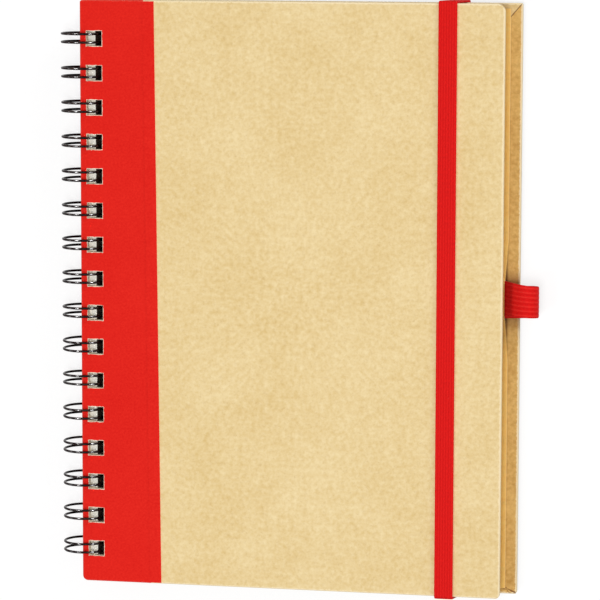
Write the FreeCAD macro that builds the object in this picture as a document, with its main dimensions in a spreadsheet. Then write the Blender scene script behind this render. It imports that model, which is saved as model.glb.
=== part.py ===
import FreeCAD, Part
import Sketcher
import math
import os

from FreeCAD import Placement, Rotation, Vector

# Twin-loop wire-bound notebook with wrapped board covers, lying on its back.
# X runs across the cover from the wire to the fore-edge, Y up the page, Z out of the front cover.
# Sketches are drawn from the centre line of the wire loops and from the middle of the stack.

doc = FreeCAD.newDocument("Notebook")
sheet = doc.addObject("Spreadsheet::Sheet", "Sizes")

SIZES = [
    ("cover_height", 217.0, "covers, head to tail"),
    ("front_width", 157.5, "front cover, spine edge to fore-edge"),
    ("back_overhang", 5.0, "how far the back cover stands out past the front cover"),
    ("spine_setback", 0.3, "covers' spine edge, from the centre line of the loops"),
    ("board_thickness", 2.0, "grey board"),
    ("paper_thickness", 0.2, "wrapping sheet, turn-ins and endpaper"),
    ("edge_fold", 0.3, "slope of the wrapping sheet's fold round the board's edges"),
    ("turn_in", 15.0, "width of the turned-in margins"),
    ("endpaper_inset_fore", 4.2, "endpaper, in from the cover's fore-edge"),
    ("endpaper_inset_ends", 2.0, "endpaper, in from the cover's other edges"),
    ("endpaper_draw_in", 1.1, "how far the back endpaper's edge draws in beside the pen loop"),
    ("endpaper_draw_length", 15.0, "along the fore-edge, over which it draws in"),
    ("front_round_head_spine", 1.0, "front cover's corner"),
    ("front_round_head_fore", 3.0, "front cover's corner"),
    ("front_round_tail_spine", 2.0, "front cover's corner"),
    ("front_round_tail_fore", 1.6, "front cover's corner"),
    ("back_round", 0.8, "back cover's corners"),
    ("strip_width_head", 28.0, "coloured strip along the spine, at the head"),
    ("strip_width_tail", 30.3, "coloured strip along the spine, at the tail"),
    ("strip_lap", 4.0, "how far the strip laps over the wrapping sheet"),
    ("page_inset_fore", 7.8, "leaves, in from the front cover's fore-edge"),
    ("page_inset_ends", 3.5, "leaves, in from the covers' head and tail edges"),
    ("page_stack", 7.0, "thickness of all the leaves"),
    ("page_clearance", 0.1, "between the leaves and each endpaper"),
    ("page_setback", 2.0, "leaves' binding edge, from the centre line of the loops"),
    ("loop_pitch", 12.7, "two loops to the inch"),
    ("first_row_height", 12.4, "lowest punched hole, up from the tail edge, and least room at the head"),
    ("cover_hole_margin", 2.5, "from a cover's spine edge to its row of punched holes"),
    ("page_hole_margin", 3.5, "from the leaves' binding edge to their row of punched holes"),
    ("hole_width", 5.8, "punched hole, across the cover"),
    ("hole_height", 5.6, "punched hole, along the spine"),
    ("wire_diameter", 1.1, "wire, over the corners of its faceted section"),
    ("wire_sides", 6, "flat sides of the faceted wire"),
    ("loop_radius", 7.85, "centre line of a loop"),
    ("loop_half_gap", 1.55, "half the distance between a loop's two wires"),
    ("wire_bend", 1.0, "bend from a loop into the wire that links it to the next"),
    ("loop_start_angle", 281.25, "where a loop leaves its bend, in degrees round its axis"),
    ("loop_step_angle", 22.5, "straight length of the faceted loop, in degrees"),
    ("seam_gap_angle", 10.0, "opening between a loop's tip and the linking wire, in degrees"),
    ("end_stub", 3.0, "linking wire left at each end of the comb"),
    ("band_width", 6.8, "elastic closing band"),
    ("band_thickness", 0.9, "elastic closing band"),
    ("band_clearance", 0.1, "between the band and what it wraps"),
    ("band_bend", 0.3, "inner radius of the band's bends"),
    ("band_inset", 20.6, "middle of the band, in from the front cover's fore-edge"),
    ("band_slant", 2.8, "how far the band leans outwards on its way to the back"),
    ("band_slit", 17.0, "slits for the band's ends, in from the head and tail edges"),
    ("band_end", 8.0, "glued end of the band, under the endpaper"),
    ("slit_clearance", 0.1, "between the band and its slit"),
    ("pen_loop_middle", 0.7, "middle of the pen loop, up from the middle of the cover"),
    ("pen_loop_width", 12.0, "elastic pen loop, along the fore-edge"),
    ("pen_loop_thickness", 1.1, "elastic of the pen loop, ribs included"),
    ("pen_loop_height", 8.8, "pen loop, outside to outside"),
    ("pen_loop_reach", 7.7, "pen loop, out past the back cover's fore-edge"),
    ("pen_loop_tail", 5.7, "glued ends of the pen loop, under the endpaper"),
    ("pen_loop_ribs", 7, "ribs along the elastic"),
    ("rib_depth", 0.2, "how far a rib stands out"),
    ("pen_loop_step_angle", 22.5, "straight length of the pen loop's faceted bend, in degrees"),
    ("blister_margin", 1.2, "endpaper raised over the pen loop's end, past its sides"),
]
for row, (alias, value, meaning) in enumerate(SIZES, start=1):
    sheet.set(f"A{row}", meaning)
    sheet.set(f"B{row}", str(value))
    sheet.setAlias(f"B{row}", alias)
doc.recompute()


def number(expression):
    """Value of an expression over the sheet."""
    return float(sheet.evalExpression(expression))


# Heights of the cover's layers, from the middle of the stack outwards.
ENDPAPER_FACE = "(Sizes.page_stack / 2 + Sizes.page_clearance)"
TURN_IN_FACE = f"({ENDPAPER_FACE} + Sizes.paper_thickness)"
BOARD_NEAR = f"({TURN_IN_FACE} + Sizes.paper_thickness)"
BOARD_FAR = f"({BOARD_NEAR} + Sizes.board_thickness)"
OUTER_FACE = f"({BOARD_FAR} + Sizes.paper_thickness)"
LAP_FACE = f"({OUTER_FACE} + Sizes.paper_thickness)"

# Edges of the covers.
HEAD = "(Sizes.cover_height / 2)"
TAIL = "(-Sizes.cover_height / 2)"
SPINE = "Sizes.spine_setback"
FRONT_FORE = "(Sizes.spine_setback + Sizes.front_width)"
BACK_FORE = f"({FRONT_FORE} + Sizes.back_overhang)"

# As many loops as fit at their pitch.
FIRST_ROW = f"({TAIL} + Sizes.first_row_height)"
LOOP_COUNT = "(floor((Sizes.cover_height - 2 * Sizes.first_row_height) / Sizes.loop_pitch) + 1)"

# The part's origin is under the middle of its outline, on the surface that the loops stand on.
LOOP_OUTER = "(Sizes.loop_radius + Sizes.wire_diameter / 2)"
PEN_LOOP_TIP = f"({BACK_FORE} + Sizes.pen_loop_reach)"
ORIGIN_X = f"(({LOOP_OUTER} - {PEN_LOOP_TIP}) / 2)"
ORIGIN_Z = LOOP_OUTER

FRONT = "front"
BACK = "back"
LENGTH_TOLERANCE = 1e-4


def layer(side, near, far):
    """Lowest and highest height of a layer given by its distances from the middle."""
    if side == FRONT:
        return near, far
    return f"(-{far})", f"(-{near})"


def rectangle(left, right, tail, head, rounds=(None, None, None, None)):
    """Corners of an upright rectangle, with a radius for each, from tail left round to head left."""
    points = [(left, tail), (right, tail), (right, head), (left, head)]
    return [(x, y, radius) for (x, y), radius in zip(points, rounds)]


def tangent_point(corner, other):
    """Where a corner's rounding starts on its side towards another corner."""
    x, y, radius = corner
    run = number(other[0]) - number(x)
    rise = number(other[1]) - number(y)
    if abs(run) > abs(rise):
        return f"({x} {'+' if run > 0 else '-'} {radius})", y
    return x, f"({y} {'+' if rise > 0 else '-'} {radius})"


def draw_loop(sketch, corners):
    """Closed outline of lines, with an arc where a corner has a radius, all bound to the sheet."""
    count = len(corners)
    stops = []
    for index, corner in enumerate(corners):
        if corner[2] is None:
            stops.append([corner[:2]])
        else:
            before = tangent_point(corner, corners[index - 1])
            after = tangent_point(corner, corners[(index + 1) % count])
            stops.append([before, after])

    def spot(place):
        return Vector(number(place[0]), number(place[1]), 0)

    pieces = []
    for index, corner in enumerate(corners):
        if corner[2] is not None:
            start, end = (spot(place) for place in stops[index])
            sharp = spot(corner[:2])
            centre = start + end - sharp
            middle = centre + (sharp - centre).normalize() * number(corner[2])
            arc = sketch.addGeometry(Part.Arc(start, middle, end), False)
            pieces.append(arc)
            datum = sketch.addConstraint(Sketcher.Constraint("Radius", arc, number(corner[2])))
            sketch.setExpression(f"Constraints[{datum}]", corner[2])
        following = stops[(index + 1) % count][0]
        line = Part.LineSegment(spot(stops[index][-1]), spot(following))
        pieces.append(sketch.addGeometry(line, False))
        for kind, text, value in (
            ("DistanceX", stops[index][-1][0], spot(stops[index][-1]).x),
            ("DistanceY", stops[index][-1][1], spot(stops[index][-1]).y),
        ):
            datum = sketch.addConstraint(Sketcher.Constraint(kind, pieces[-1], 1, value))
            sketch.setExpression(f"Constraints[{datum}]", text)
        if corners[(index + 1) % count][2] is not None:
            for kind, text, value in (
                ("DistanceX", following[0], spot(following).x),
                ("DistanceY", following[1], spot(following).y),
            ):
                datum = sketch.addConstraint(Sketcher.Constraint(kind, pieces[-1], 2, value))
                sketch.setExpression(f"Constraints[{datum}]", text)
    for index, piece in enumerate(pieces):
        following = pieces[(index + 1) % len(pieces)]
        sketch.addConstraint(Sketcher.Constraint("Coincident", piece, 2, following, 1))


def new_body(name):
    """Body of one sub-part, carried from the loops' centre line to the part's origin."""
    body = doc.addObject("PartDesign::Body", name)
    body.Label = name
    body.setExpression("Placement.Base.x", ORIGIN_X)
    body.setExpression("Placement.Base.z", ORIGIN_Z)
    return body


def sketch_at(body, name, height, loops):
    """Sketch parallel to the cover at a height, holding one or more closed outlines."""
    sketch = body.newObject("Sketcher::SketchObject", name + "_sketch")
    plane = next(part for part in body.Origin.OriginFeatures if part.Role == "XY_Plane")
    sketch.AttachmentSupport = (plane, [""])
    sketch.MapMode = "FlatFace"
    sketch.setExpression(".AttachmentOffset.Base.z", height)
    for corners in loops:
        draw_loop(sketch, corners)
    return sketch


def prism(body, name, loops, span, cut=False):
    """Pad or pocket between two heights."""
    low, high = span
    sketch = sketch_at(body, name, low, loops)
    feature = body.newObject("PartDesign::Pocket" if cut else "PartDesign::Pad", name)
    feature.Profile = sketch
    feature.Reversed = cut
    feature.setExpression("Length", f"{high} - {low}")
    sketch.Visibility = False
    return feature


def slope_edges(body, name, base, wanted):
    """Slope on those edges of a feature that pass a test of their middle."""
    doc.recompute()
    names = []
    for index, edge in enumerate(base.Shape.Edges, start=1):
        middle = edge.valueAt((edge.FirstParameter + edge.LastParameter) / 2)
        if wanted(middle):
            names.append(f"Edge{index}")
    slope = body.newObject("PartDesign::Chamfer", name)
    slope.Base = (base, names)
    slope.setExpression("Size", "Sizes.edge_fold")
    return slope


def punch(body, left, span):
    """Row of punched holes for the wire, repeated at the loops' pitch."""
    low, high = span
    hole = rectangle(
        left,
        f"({left} + Sizes.hole_width)",
        f"({FIRST_ROW} - Sizes.hole_height / 2)",
        f"({FIRST_ROW} + Sizes.hole_height / 2)",
    )
    reach = (f"({low} - Sizes.paper_thickness)", f"({high} + Sizes.paper_thickness)")
    pocket = prism(body, body.Name + "_hole", [hole], reach, cut=True)
    row = body.newObject("PartDesign::LinearPattern", body.Name + "_holes")
    row.Originals = [pocket]
    row.Direction = (pocket.Profile[0], ["V_Axis"])
    row.Mode = "Spacing"
    row.setExpression("Offset", "Sizes.loop_pitch")
    row.setExpression("Occurrences", LOOP_COUNT)
    body.Tip = row
    return row


COVER_HOLES = "(Sizes.spine_setback + Sizes.cover_hole_margin)"
PAGE_HOLES = "(Sizes.page_setback + Sizes.page_hole_margin)"

# Corner radii in the order tail spine, tail fore-edge, head fore-edge, head spine.
ROUNDS = {
    FRONT: [
        "Sizes.front_round_tail_spine",
        "Sizes.front_round_tail_fore",
        "Sizes.front_round_head_fore",
        "Sizes.front_round_head_spine",
    ],
    BACK: ["Sizes.back_round"] * 4,
}
FORE = {FRONT: FRONT_FORE, BACK: BACK_FORE}

# The strip's edge and the wrapping sheet's hidden edge under it both lean a little.
STRIP_HEAD = f"({SPINE} + Sizes.strip_width_head)"
STRIP_TAIL = f"({SPINE} + Sizes.strip_width_tail)"
LAP_HEAD = f"({STRIP_HEAD} - Sizes.strip_lap)"
LAP_TAIL = f"({STRIP_TAIL} - Sizes.strip_lap)"


def board_outline(side):
    """Outline of the bare board, one sheet of paper inside the wrapped cover."""
    inset = "Sizes.paper_thickness"
    return rectangle(
        f"({SPINE} + {inset})",
        f"({FORE[side]} - {inset})",
        f"({TAIL} + {inset})",
        f"({HEAD} - {inset})",
        [f"({radius} - {inset})" for radius in ROUNDS[side]],
    )


def window_outline(side):
    """What the turned-in margins leave open on the inside."""
    return rectangle(
        f"({SPINE} + Sizes.turn_in)",
        f"({FORE[side]} - Sizes.turn_in)",
        f"({TAIL} + Sizes.turn_in)",
        f"({HEAD} - Sizes.turn_in)",
    )


BAND_FRONT = f"({FRONT_FORE} - Sizes.band_inset)"
BAND_BACK = f"({BAND_FRONT} + Sizes.band_slant)"


def band_slots(reach):
    """Two rectangles where the band's ends go through the back cover and on towards its middle."""
    left = f"({BAND_BACK} - Sizes.band_width / 2 - Sizes.slit_clearance)"
    right = f"({BAND_BACK} + Sizes.band_width / 2 + Sizes.slit_clearance)"
    start = f"({HEAD} - Sizes.band_slit + Sizes.slit_clearance)"
    end = f"({HEAD} - Sizes.band_slit - {reach} - Sizes.slit_clearance)"
    return [
        rectangle(left, right, end, start),
        rectangle(left, right, f"(-{start})", f"(-{end})"),
    ]


def build_board(side):
    """Grey board, punched for the wire; the back one is also slit for the band."""
    body = new_body(f"{side}_board")
    span = layer(side, BOARD_NEAR, BOARD_FAR)
    prism(body, f"{side}_board_blank", [board_outline(side)], span)
    if side == BACK:
        prism(body, "back_board_slits", band_slots("Sizes.band_thickness"), span, cut=True)
        bed_floor = f"({BOARD_NEAR} + Sizes.band_thickness + Sizes.slit_clearance)"
        bed = layer(side, BOARD_NEAR, bed_floor)
        prism(body, "back_board_beds", band_slots("Sizes.band_end"), bed, cut=True)
    punch(body, COVER_HOLES, span)
    return body


def fold_edges(body, blank, span):
    """Folds along all edges of a blank's two faces but those of the slanted edge under the lap."""
    slanted = (number(LAP_HEAD), number(LAP_TAIL))
    heights = [number(height) for height in span]

    def at_a_face(middle):
        return any(math.isclose(middle.z, height, abs_tol=LENGTH_TOLERANCE) for height in heights)

    def off_the_lap(middle):
        inner, outer = min(slanted) - LENGTH_TOLERANCE, max(slanted) + LENGTH_TOLERANCE
        return not inner <= middle.x <= outer

    def outside_fold(middle):
        return at_a_face(middle) and off_the_lap(middle)

    return slope_edges(body, body.Name + "_folds", blank, outside_fold)


def hollow_out(body, side):
    """Room for the board, and the window between the turned-in margins."""
    board = layer(side, BOARD_NEAR, BOARD_FAR)
    prism(body, body.Name + "_inside", [board_outline(side)], board, cut=True)
    margins = layer(side, TURN_IN_FACE, BOARD_NEAR)
    prism(body, body.Name + "_window", [window_outline(side)], margins, cut=True)


def build_wrap(side):
    """Wrapping sheet: outer face, three folded edges and their turned-in margins."""
    body = new_body(f"{side}_wrap_paper")
    fore = FORE[side]
    tail_fore, head_fore = ROUNDS[side][1:3]
    sheet_outline = [
        (LAP_TAIL, TAIL, None),
        (fore, TAIL, tail_fore),
        (fore, HEAD, head_fore),
        (LAP_HEAD, HEAD, None),
    ]
    span = layer(side, TURN_IN_FACE, OUTER_FACE)
    blank = prism(body, f"{side}_wrap_blank", [sheet_outline], span)
    fold_edges(body, blank, span)
    hollow_out(body, side)
    if side == BACK:
        skin = layer(side, BOARD_FAR, OUTER_FACE)
        prism(body, "back_wrap_slits", band_slots("Sizes.band_thickness"), skin, cut=True)
    return body


def build_strip(side):
    """Coloured strip round the spine edge, lapped over the wrapping sheet on the outside."""
    body = new_body(f"{side}_spine_strip")
    tail_spine, head_spine = ROUNDS[side][0], ROUNDS[side][3]
    strip_outline = [
        (SPINE, TAIL, tail_spine),
        (LAP_TAIL, TAIL, None),
        (LAP_HEAD, HEAD, None),
        (SPINE, HEAD, head_spine),
    ]
    span = layer(side, TURN_IN_FACE, OUTER_FACE)
    blank = prism(body, f"{side}_strip_blank", [strip_outline], span)
    fold_edges(body, blank, span)
    hollow_out(body, side)
    lap_outline = [
        (f"({LAP_TAIL} - Sizes.paper_thickness)", f"({TAIL} + Sizes.edge_fold)", None),
        (STRIP_TAIL, f"({TAIL} + Sizes.edge_fold)", None),
        (STRIP_HEAD, f"({HEAD} - Sizes.edge_fold)", None),
        (f"({LAP_HEAD} - Sizes.paper_thickness)", f"({HEAD} - Sizes.edge_fold)", None),
    ]
    prism(body, f"{side}_strip_lap", [lap_outline], layer(side, OUTER_FACE, LAP_FACE))
    punch(body, COVER_HOLES, layer(side, TURN_IN_FACE, OUTER_FACE))
    return body


# The pen loop's glued ends lie on the back cover's margin, under a raised place in the endpaper.
ENDPAPER_FORE = f"({BACK_FORE} - Sizes.endpaper_inset_fore)"
PASTEDOWN_EDGE = f"({ENDPAPER_FORE} - Sizes.endpaper_draw_in)"
TAIL_START = f"({PASTEDOWN_EDGE} - Sizes.pen_loop_tail)"
TAIL_TOP = f"({TURN_IN_FACE} - 2 * Sizes.pen_loop_thickness)"
BLISTER_HALF = "(Sizes.pen_loop_width / 2 + Sizes.blister_margin)"


def beside_pen_loop(half):
    """Two heights on the page, as far below and above the pen loop's middle."""
    return f"(Sizes.pen_loop_middle - {half})", f"(Sizes.pen_loop_middle + {half})"


def build_endpaper(side):
    """Endpaper glued over the margins and pressed into the window between them."""
    body = new_body(f"{side}_endpaper")
    face = rectangle(
        f"({SPINE} + Sizes.endpaper_inset_ends)",
        f"({FORE[side]} - Sizes.endpaper_inset_fore)",
        f"({TAIL} + Sizes.endpaper_inset_ends)",
        f"({HEAD} - Sizes.endpaper_inset_ends)",
    )
    if side == BACK:
        low_end, high_end = beside_pen_loop(BLISTER_HALF)
        low_start, high_start = beside_pen_loop(f"({BLISTER_HALF} + Sizes.endpaper_draw_length)")
        face[2:2] = [
            (ENDPAPER_FORE, low_start, None),
            (PASTEDOWN_EDGE, low_end, None),
            (PASTEDOWN_EDGE, high_end, None),
            (ENDPAPER_FORE, high_start, None),
        ]
    prism(body, f"{side}_endpaper_sheet", [face], layer(side, ENDPAPER_FACE, TURN_IN_FACE))
    pressed = layer(side, TURN_IN_FACE, BOARD_NEAR)
    prism(body, f"{side}_endpaper_pressed", [window_outline(side)], pressed)
    if side == BACK:
        raised = rectangle(
            f"({TAIL_START} - Sizes.paper_thickness)",
            PASTEDOWN_EDGE,
            low_end,
            high_end,
        )
        top = layer(side, f"({TAIL_TOP} - Sizes.paper_thickness)", ENDPAPER_FACE)
        prism(body, "back_endpaper_blister", [raised], top)
        hollow = rectangle(TAIL_START, BACK_FORE, *beside_pen_loop("(Sizes.pen_loop_width / 2)"))
        prism(body, "back_endpaper_hollow", [hollow], layer(side, TAIL_TOP, TURN_IN_FACE), cut=True)
    punch(body, COVER_HOLES, layer(side, ENDPAPER_FACE, TURN_IN_FACE))
    return body


def build_pages():
    """The leaves as one block, punched along the binding edge."""
    body = new_body("page_block")
    leaf = rectangle(
        "Sizes.page_setback",
        f"({FRONT_FORE} - Sizes.page_inset_fore)",
        f"({TAIL} + Sizes.page_inset_ends)",
        f"({HEAD} - Sizes.page_inset_ends)",
    )
    span = ("(-Sizes.page_stack / 2)", "(Sizes.page_stack / 2)")
    prism(body, "page_block_leaves", [leaf], span)
    punch(body, PAGE_HOLES, span)
    return body


def new_feature(name, shape):
    """Sub-part whose shape is worked out here, carried to the part's origin."""
    feature = doc.addObject("Part::Feature", name)
    feature.Label = name
    feature.Shape = shape
    feature.Placement = Placement(Vector(number(ORIGIN_X), 0, number(ORIGIN_Z)), Rotation())
    return feature


def build_wire():
    """One wire bent into a comb of hairpins, each closed into a double loop.

    The path runs along the linking wire, bends into the loop, goes round to the hairpin's tip,
    comes back round and bends into the next link. The loop is made of straight lengths that
    touch its centre line, so that the comb is as deep and as wide as the round one.
    """
    radius = number("Sizes.loop_radius")
    bend = number("Sizes.wire_bend")
    half_gap = number("Sizes.loop_half_gap")
    pitch = number("Sizes.loop_pitch")
    stub = number("Sizes.end_stub")
    step = math.radians(number("Sizes.loop_step_angle"))
    start_angle = math.radians(number("Sizes.loop_start_angle"))
    link_angle = start_angle + bend / radius
    tip_angle = link_angle + math.radians(number("Sizes.seam_gap_angle")) + half_gap / radius
    sweep = start_angle - (tip_angle - 2 * math.pi)
    corner_radius = radius / math.cos(step / 2)
    along = Vector(0, 1, 0)

    def on_loop(angle, height):
        return Vector(corner_radius * math.cos(angle), height, corner_radius * math.sin(angle))

    def heading(angle):
        return Vector(-math.sin(angle), 0, math.cos(angle))

    turns = [index * step for index in range(math.ceil(sweep / step))] + [sweep]
    points = []
    for index in range(int(number(LOOP_COUNT))):
        middle = number(FIRST_ROW) + index * pitch
        lower, upper = middle - half_gap, middle + half_gap
        link_in = on_loop(start_angle, lower - bend) + heading(start_angle) * bend
        if index == 0:
            points.append(link_in - along * stub)
        points.append(link_in)
        points += [on_loop(start_angle - turn, lower) for turn in turns]
        for lean in (math.pi / 3, 2 * math.pi / 3):
            back = heading(tip_angle) * half_gap * math.sin(lean)
            points.append(on_loop(tip_angle, middle - half_gap * math.cos(lean)) - back)
        points += [on_loop(start_angle - turn, upper) for turn in reversed(turns)]
        points.append(on_loop(start_angle, upper + bend) + heading(start_angle) * bend)
    points.append(points[-1] + along * stub)
    path = Part.makePolygon(points)

    sides = int(number("Sizes.wire_sides"))
    wire_radius = number("Sizes.wire_diameter") / 2
    corners = []
    for index in range(sides):
        angle = start_angle + 2 * math.pi * index / sides
        corners.append(points[0] + Vector(math.cos(angle), 0, math.sin(angle)) * wire_radius)
    section = Part.makePolygon(corners + corners[:1])
    mitred = 1
    comb = path.makePipeShell([section], True, False, mitred)
    return new_feature("wire_binding", comb)


class Strip:
    """Flat elastic built by carrying its section along straight runs and round bends."""

    def __init__(self, section):
        self.end = section
        self.solids = []

    def run(self, travel):
        """Straight run of the section by a vector."""
        self.solids.append(self.end.extrude(travel))
        self.end = self.end.translated(travel)

    def turn(self, centre, axis, degrees):
        """Bend of the section about an axis."""
        self.solids.append(self.end.revolve(centre, axis, degrees))
        self.end = self.end.rotated(centre, axis, degrees)

    def solid(self):
        """All runs and bends as one solid."""
        return self.solids[0].multiFuse(self.solids[1:]).removeSplitter()


def build_band():
    """Closing band: over the front cover, round head and tail, and through the slits at the back."""
    width = number("Sizes.band_width")
    thickness = number("Sizes.band_thickness")
    clearance = number("Sizes.band_clearance")
    bend = number("Sizes.band_bend")
    head = number(HEAD)
    face = number(OUTER_FACE) + clearance
    edge = head + clearance
    left = number(BAND_FRONT) - width / 2
    corners = [
        Vector(left, 0, face),
        Vector(left + width, 0, face),
        Vector(left + width, 0, face + thickness),
        Vector(left, 0, face + thickness),
    ]
    section = Part.Face(Part.makePolygon(corners + corners[:1]))
    strip = Strip(section)
    sideways = Vector(1, 0, 0)
    strip.run(Vector(0, edge - bend, 0))
    strip.turn(Vector(0, edge - bend, face - bend), sideways, -90)
    strip.run(Vector(number("Sizes.band_slant"), 0, -2 * (face - bend)))
    strip.turn(Vector(0, edge - bend, bend - face), sideways, -90)
    slit_start = head - number("Sizes.band_slit")
    strip.run(Vector(0, slit_start + bend - (edge - bend), 0))
    strip.turn(Vector(0, slit_start + bend, bend - face), sideways, -90)
    inside = -(number(BOARD_NEAR) + thickness + bend)
    strip.run(Vector(0, 0, inside - (bend - face)))
    strip.turn(Vector(0, slit_start - thickness - bend, inside), sideways, 90)
    strip.run(Vector(0, thickness + bend - number("Sizes.band_end"), 0))
    half = strip.solid()
    other = half.mirror(Vector(0, 0, 0), Vector(0, 1, 0))
    return new_feature("elastic_band", half.fuse(other).removeSplitter())


def chain(outlines):
    """Solid through a row of matching outlines, each run between two of them straight."""
    count = len(outlines[0])
    faces = [Part.Face(Part.makePolygon(cap + cap[:1])) for cap in (outlines[0], outlines[-1])]
    for near, far in zip(outlines, outlines[1:]):
        for index in range(count):
            after = (index + 1) % count
            side = [near[index], near[after], far[after], far[index], near[index]]
            faces.append(Part.Face(Part.makePolygon(side)))
    solid = Part.Solid(Part.Shell(faces))
    solid.fix(LENGTH_TOLERANCE, LENGTH_TOLERANCE, LENGTH_TOLERANCE)
    return solid


def build_pen_loop():
    """Pen loop: ribbed elastic folded into a drop-shaped eye, both ends glued on each other."""
    width = number("Sizes.pen_loop_width")
    thickness = number("Sizes.pen_loop_thickness")
    ribs = int(number("Sizes.pen_loop_ribs"))
    depth = number("Sizes.rib_depth")
    outer = number("Sizes.pen_loop_height") / 2
    bed = -number(TURN_IN_FACE)
    start_x = number(TAIL_START)
    edge_x = number(PASTEDOWN_EDGE)
    tip_x = number(PEN_LOOP_TIP) - outer
    pitch = width / ribs
    lowest = number("Sizes.pen_loop_middle") - width / 2
    # The section's corners, as height on the page and depth under the ribs' crests.
    section = [(lowest, thickness), (lowest, depth)]
    for index in range(ribs):
        groove = lowest + (index + 1) * pitch
        section += [(groove - pitch / 2, 0), (groove, depth)]
    section.append((lowest + width, thickness))

    # The upper layer leaves the tip's circle along the line that touches it and ends at the root.
    fall = math.atan2(outer - 2 * thickness, tip_x - edge_x)
    touch = math.asin(outer / math.hypot(tip_x - edge_x, outer - 2 * thickness))
    slope = touch + fall
    step = math.radians(number("Sizes.pen_loop_step_angle"))

    def tip_outline(low, high):
        """Outline where the lengths that touch the tip's circle at two angles meet.

        The angles are measured from straight down.
        """
        angle = (low + high) / 2
        corners = []
        for along, under in section:
            reach = (outer - under) / math.cos((high - low) / 2)
            across = tip_x + reach * math.sin(angle)
            corners.append(Vector(across, along, bed + outer - reach * math.cos(angle)))
        return corners

    top = bed + 2 * thickness
    glued_lower = [Vector(start_x, along, bed + under) for along, under in section]
    root = [
        Vector(edge_x + under * math.tan(slope / 2), along, top - under)
        for along, under in section
    ]
    glued_upper = [Vector(start_x, along, top - under) for along, under in section]
    touches = [index * step for index in range(round(math.pi / step) + 1)] + [math.pi + slope]
    tip = [tip_outline(low, high) for low, high in zip(touches, touches[1:])]
    eye = chain([glued_lower] + tip + [root])
    end = chain([root, glued_upper])
    return new_feature("pen_loop", eye.fuse(end).removeSplitter())


parts = []
for side in (FRONT, BACK):
    parts += [build_board(side), build_wrap(side), build_strip(side), build_endpaper(side)]
parts += [build_pages(), build_wire(), build_band(), build_pen_loop()]
doc.recompute()

for item in doc.Objects:
    if "Invalid" in item.State or "Error" in item.State:
        raise RuntimeError(f"{item.Label} failed: {item.State}")
    if item.TypeId == "PartDesign::Pocket":
        if not item.Shape.Volume < item.BaseFeature.Shape.Volume - 1e-6:
            raise RuntimeError(f"{item.Label} cuts nothing")

os.makedirs("parts", exist_ok=True)
for item in parts:
    shape = item.Shape
    if shape.isNull() or not shape.isValid() or len(shape.Solids) != 1:
        raise RuntimeError(f"{item.Label} is not one valid solid")
    shape.exportStep(f"parts/{item.Label}.step")
    box = shape.BoundBox
    print(f"{item.Label}: {shape.Volume:.1f} mm3, x {box.XMin:.2f} to {box.XMax:.2f},"
          f" y {box.YMin:.2f} to {box.YMax:.2f}, z {box.ZMin:.2f} to {box.ZMax:.2f}")
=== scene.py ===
"""Twin-loop notebook with kraft covers: finishes, wire comb, elastics, leaf edges, light and camera."""

import logging
import math
from dataclasses import dataclass
from enum import Enum
from typing import Optional, Union

import bpy
import numpy as np
from mathutils import Matrix, Vector


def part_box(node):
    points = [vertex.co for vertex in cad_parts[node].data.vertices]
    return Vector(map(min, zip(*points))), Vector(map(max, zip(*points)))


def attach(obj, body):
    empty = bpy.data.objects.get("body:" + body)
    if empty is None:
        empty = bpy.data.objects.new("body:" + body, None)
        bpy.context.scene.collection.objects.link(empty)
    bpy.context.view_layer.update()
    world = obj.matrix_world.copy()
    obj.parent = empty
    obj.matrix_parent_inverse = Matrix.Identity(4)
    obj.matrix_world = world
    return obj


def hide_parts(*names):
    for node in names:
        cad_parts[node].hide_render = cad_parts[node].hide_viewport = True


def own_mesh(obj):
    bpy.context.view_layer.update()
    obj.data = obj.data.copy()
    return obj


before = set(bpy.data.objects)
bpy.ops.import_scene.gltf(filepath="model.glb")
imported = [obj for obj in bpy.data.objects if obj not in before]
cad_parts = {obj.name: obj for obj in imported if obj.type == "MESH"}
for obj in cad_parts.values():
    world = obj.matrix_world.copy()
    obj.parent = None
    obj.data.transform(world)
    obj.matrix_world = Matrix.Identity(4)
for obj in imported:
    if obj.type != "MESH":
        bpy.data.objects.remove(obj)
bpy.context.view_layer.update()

LOG = logging.getLogger("notebook")
MM = 0.001
METRE = 1000.0
FAR = 500.0
FULL_TURN = 2 * math.pi
WHITE = (1.0, 1.0, 1.0, 1.0)

Place = tuple[float, float, float]
Ink = tuple[float, float, float, float]
Socket = bpy.types.NodeSocket
Feed = Union[Socket, float, int, tuple]
Feeds = dict[Union[str, int], Feed]


class Side(Enum):
    """Which cover a piece belongs to; the value is the way its outer face looks along Z."""

    FRONT = 1
    BACK = -1


@dataclass(frozen=True)
class Edges:
    """Where the covers and the back endpaper end, in millimetres from the part's origin."""

    spine: float = -80.75
    fore: float = 81.75
    half_height: float = 108.5
    endpaper_fore: float = 77.55
    endpaper_half_height: float = 106.5


@dataclass(frozen=True)
class Punching:
    """Row of punched holes, in millimetres; each margin is from the piece's own binding edge."""

    pitch: float = 12.7
    count: int = 16
    first_row: float = -96.1
    width: float = 5.8
    height: float = 5.6
    cover_margin: float = 2.5
    page_margin: float = 3.5


def ink(red: int, green: int, blue: int) -> Ink:
    """Colour as a shader wants it, from the three numbers that a colour picker shows.

    Args:
        red: Red, 0 to 255.
        green: Green, 0 to 255.
        blue: Blue, 0 to 255.

    Returns:
        The linear colour with full cover.
    """
    shares = [channel / 255 for channel in (red, green, blue)]
    linear = [s / 12.92 if s <= 0.04045 else ((s + 0.055) / 1.055) ** 2.4 for s in shares]
    return (linear[0], linear[1], linear[2], 1.0)


@dataclass(frozen=True)
class Tone:
    """A colour, and how strongly it covers what lies under it."""

    colour: Ink
    strength: float


@dataclass(frozen=True)
class Specks(Tone):
    """Scattered spots of one tone: the share of places that have one, spacing and size in mm."""

    spacing: float
    share: float
    size: float


# Surfaces


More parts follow.
